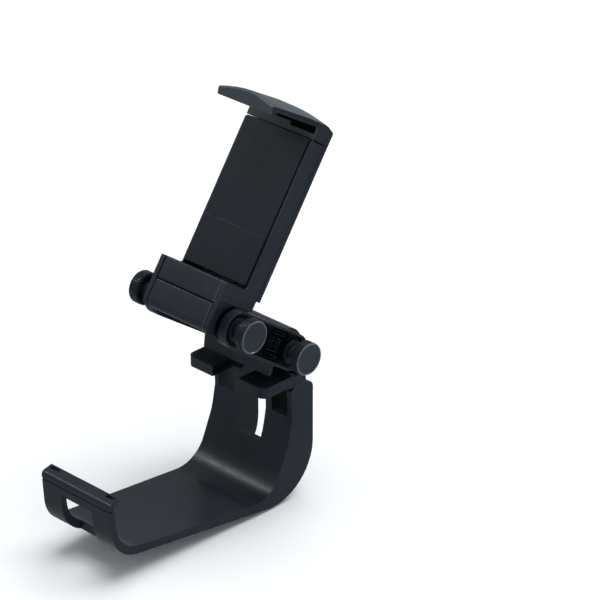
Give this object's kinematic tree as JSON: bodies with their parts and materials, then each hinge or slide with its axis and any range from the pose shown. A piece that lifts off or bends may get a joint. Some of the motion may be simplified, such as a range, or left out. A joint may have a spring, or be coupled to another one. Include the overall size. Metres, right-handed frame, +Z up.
{
  "type": "controller phone clip",
  "caption": "Clip that holds a phone above a game controller: C-shaped bracket, hinged arm clamped by thumb knobs, and a sprung phone holder.",
  "frame": {"origin": "middle of the seat on the bracket's floor, where the controller's underside rests", "axes": "+X across the clip to the player's right, -Y towards the player, +Z up as it is held"},
  "size_m": [0.0588, 0.1181, 0.1615],
  "materials": {
    "moulded_plastic": "fine satin moulding",
    "moulded_plastic_light": "satin moulding",
    "steel": "plated"
  },
  "bodies": {
    "bracket": {"controller_bracket": "moulded_plastic", "lower_nut_left": "steel", "lower_nut_right": "steel"},
    "arm": {"arm_frame": "moulded_plastic", "lower_washer_left": "steel", "lower_washer_right": "steel", "upper_washer_left": "steel", "upper_washer_right": "steel"},
    "holder": {"holder_body": "moulded_plastic", "shelf_block": "moulded_plastic", "barrel_cover": "moulded_plastic", "front_panel": "moulded_plastic", "jaw_spring_left": "steel", "jaw_spring_right": "steel", "upper_nut_left": "steel", "upper_nut_right": "steel"},
    "jaw": {"upper_jaw": "moulded_plastic_light"},
    "knob_lower_left": {"lower_knob_left": "moulded_plastic_light", "lower_stud_left": "steel"},
    "knob_lower_right": {"lower_knob_right": "moulded_plastic_light", "lower_stud_right": "steel"},
    "knob_upper_left": {"upper_knob_left": "moulded_plastic_light", "upper_stud_left": "steel"},
    "knob_upper_right": {"upper_knob_right": "moulded_plastic_light", "upper_stud_right": "steel"}
  },
  "joints": [
    {"name": "arm_tilt", "type": "hinge", "parent": "bracket", "child": "arm", "pos_m": [0, 0.046, 0.0555], "axis": [1, 0, 0], "range_deg": [-115, 45]},
    {"name": "holder_tilt", "type": "hinge", "parent": "arm", "child": "holder", "pos_m": [0, 0.01749, 0.07546], "axis": [1, 0, 0], "range_deg": [0, 90]},
    {"name": "jaw_slide", "type": "slide", "parent": "holder", "child": "jaw", "axis": [0, 0.5736, 0.8192], "range_m": [0, 0.025], "stiffness_N_per_m": 180, "springref_m": -0.012},
    {"name": "knob_lower_left_turn", "type": "hinge", "parent": "bracket", "child": "knob_lower_left", "pos_m": [-0.0273, 0.046, 0.0555], "axis": [-1, 0, 0], "range_deg": [0, 360]},
    {"name": "knob_lower_right_turn", "type": "hinge", "parent": "bracket", "child": "knob_lower_right", "pos_m": [0.0273, 0.046, 0.0555], "axis": [1, 0, 0], "range_deg": [0, 360]},
    {"name": "knob_upper_left_turn", "type": "hinge", "parent": "holder", "child": "knob_upper_left", "pos_m": [-0.0273, 0.01749, 0.07546], "axis": [-1, 0, 0], "range_deg": [0, 360]},
    {"name": "knob_upper_right_turn", "type": "hinge", "parent": "holder", "child": "knob_upper_right", "pos_m": [0.0273, 0.01749, 0.07546], "axis": [1, 0, 0], "range_deg": [0, 360]}
  ]
}
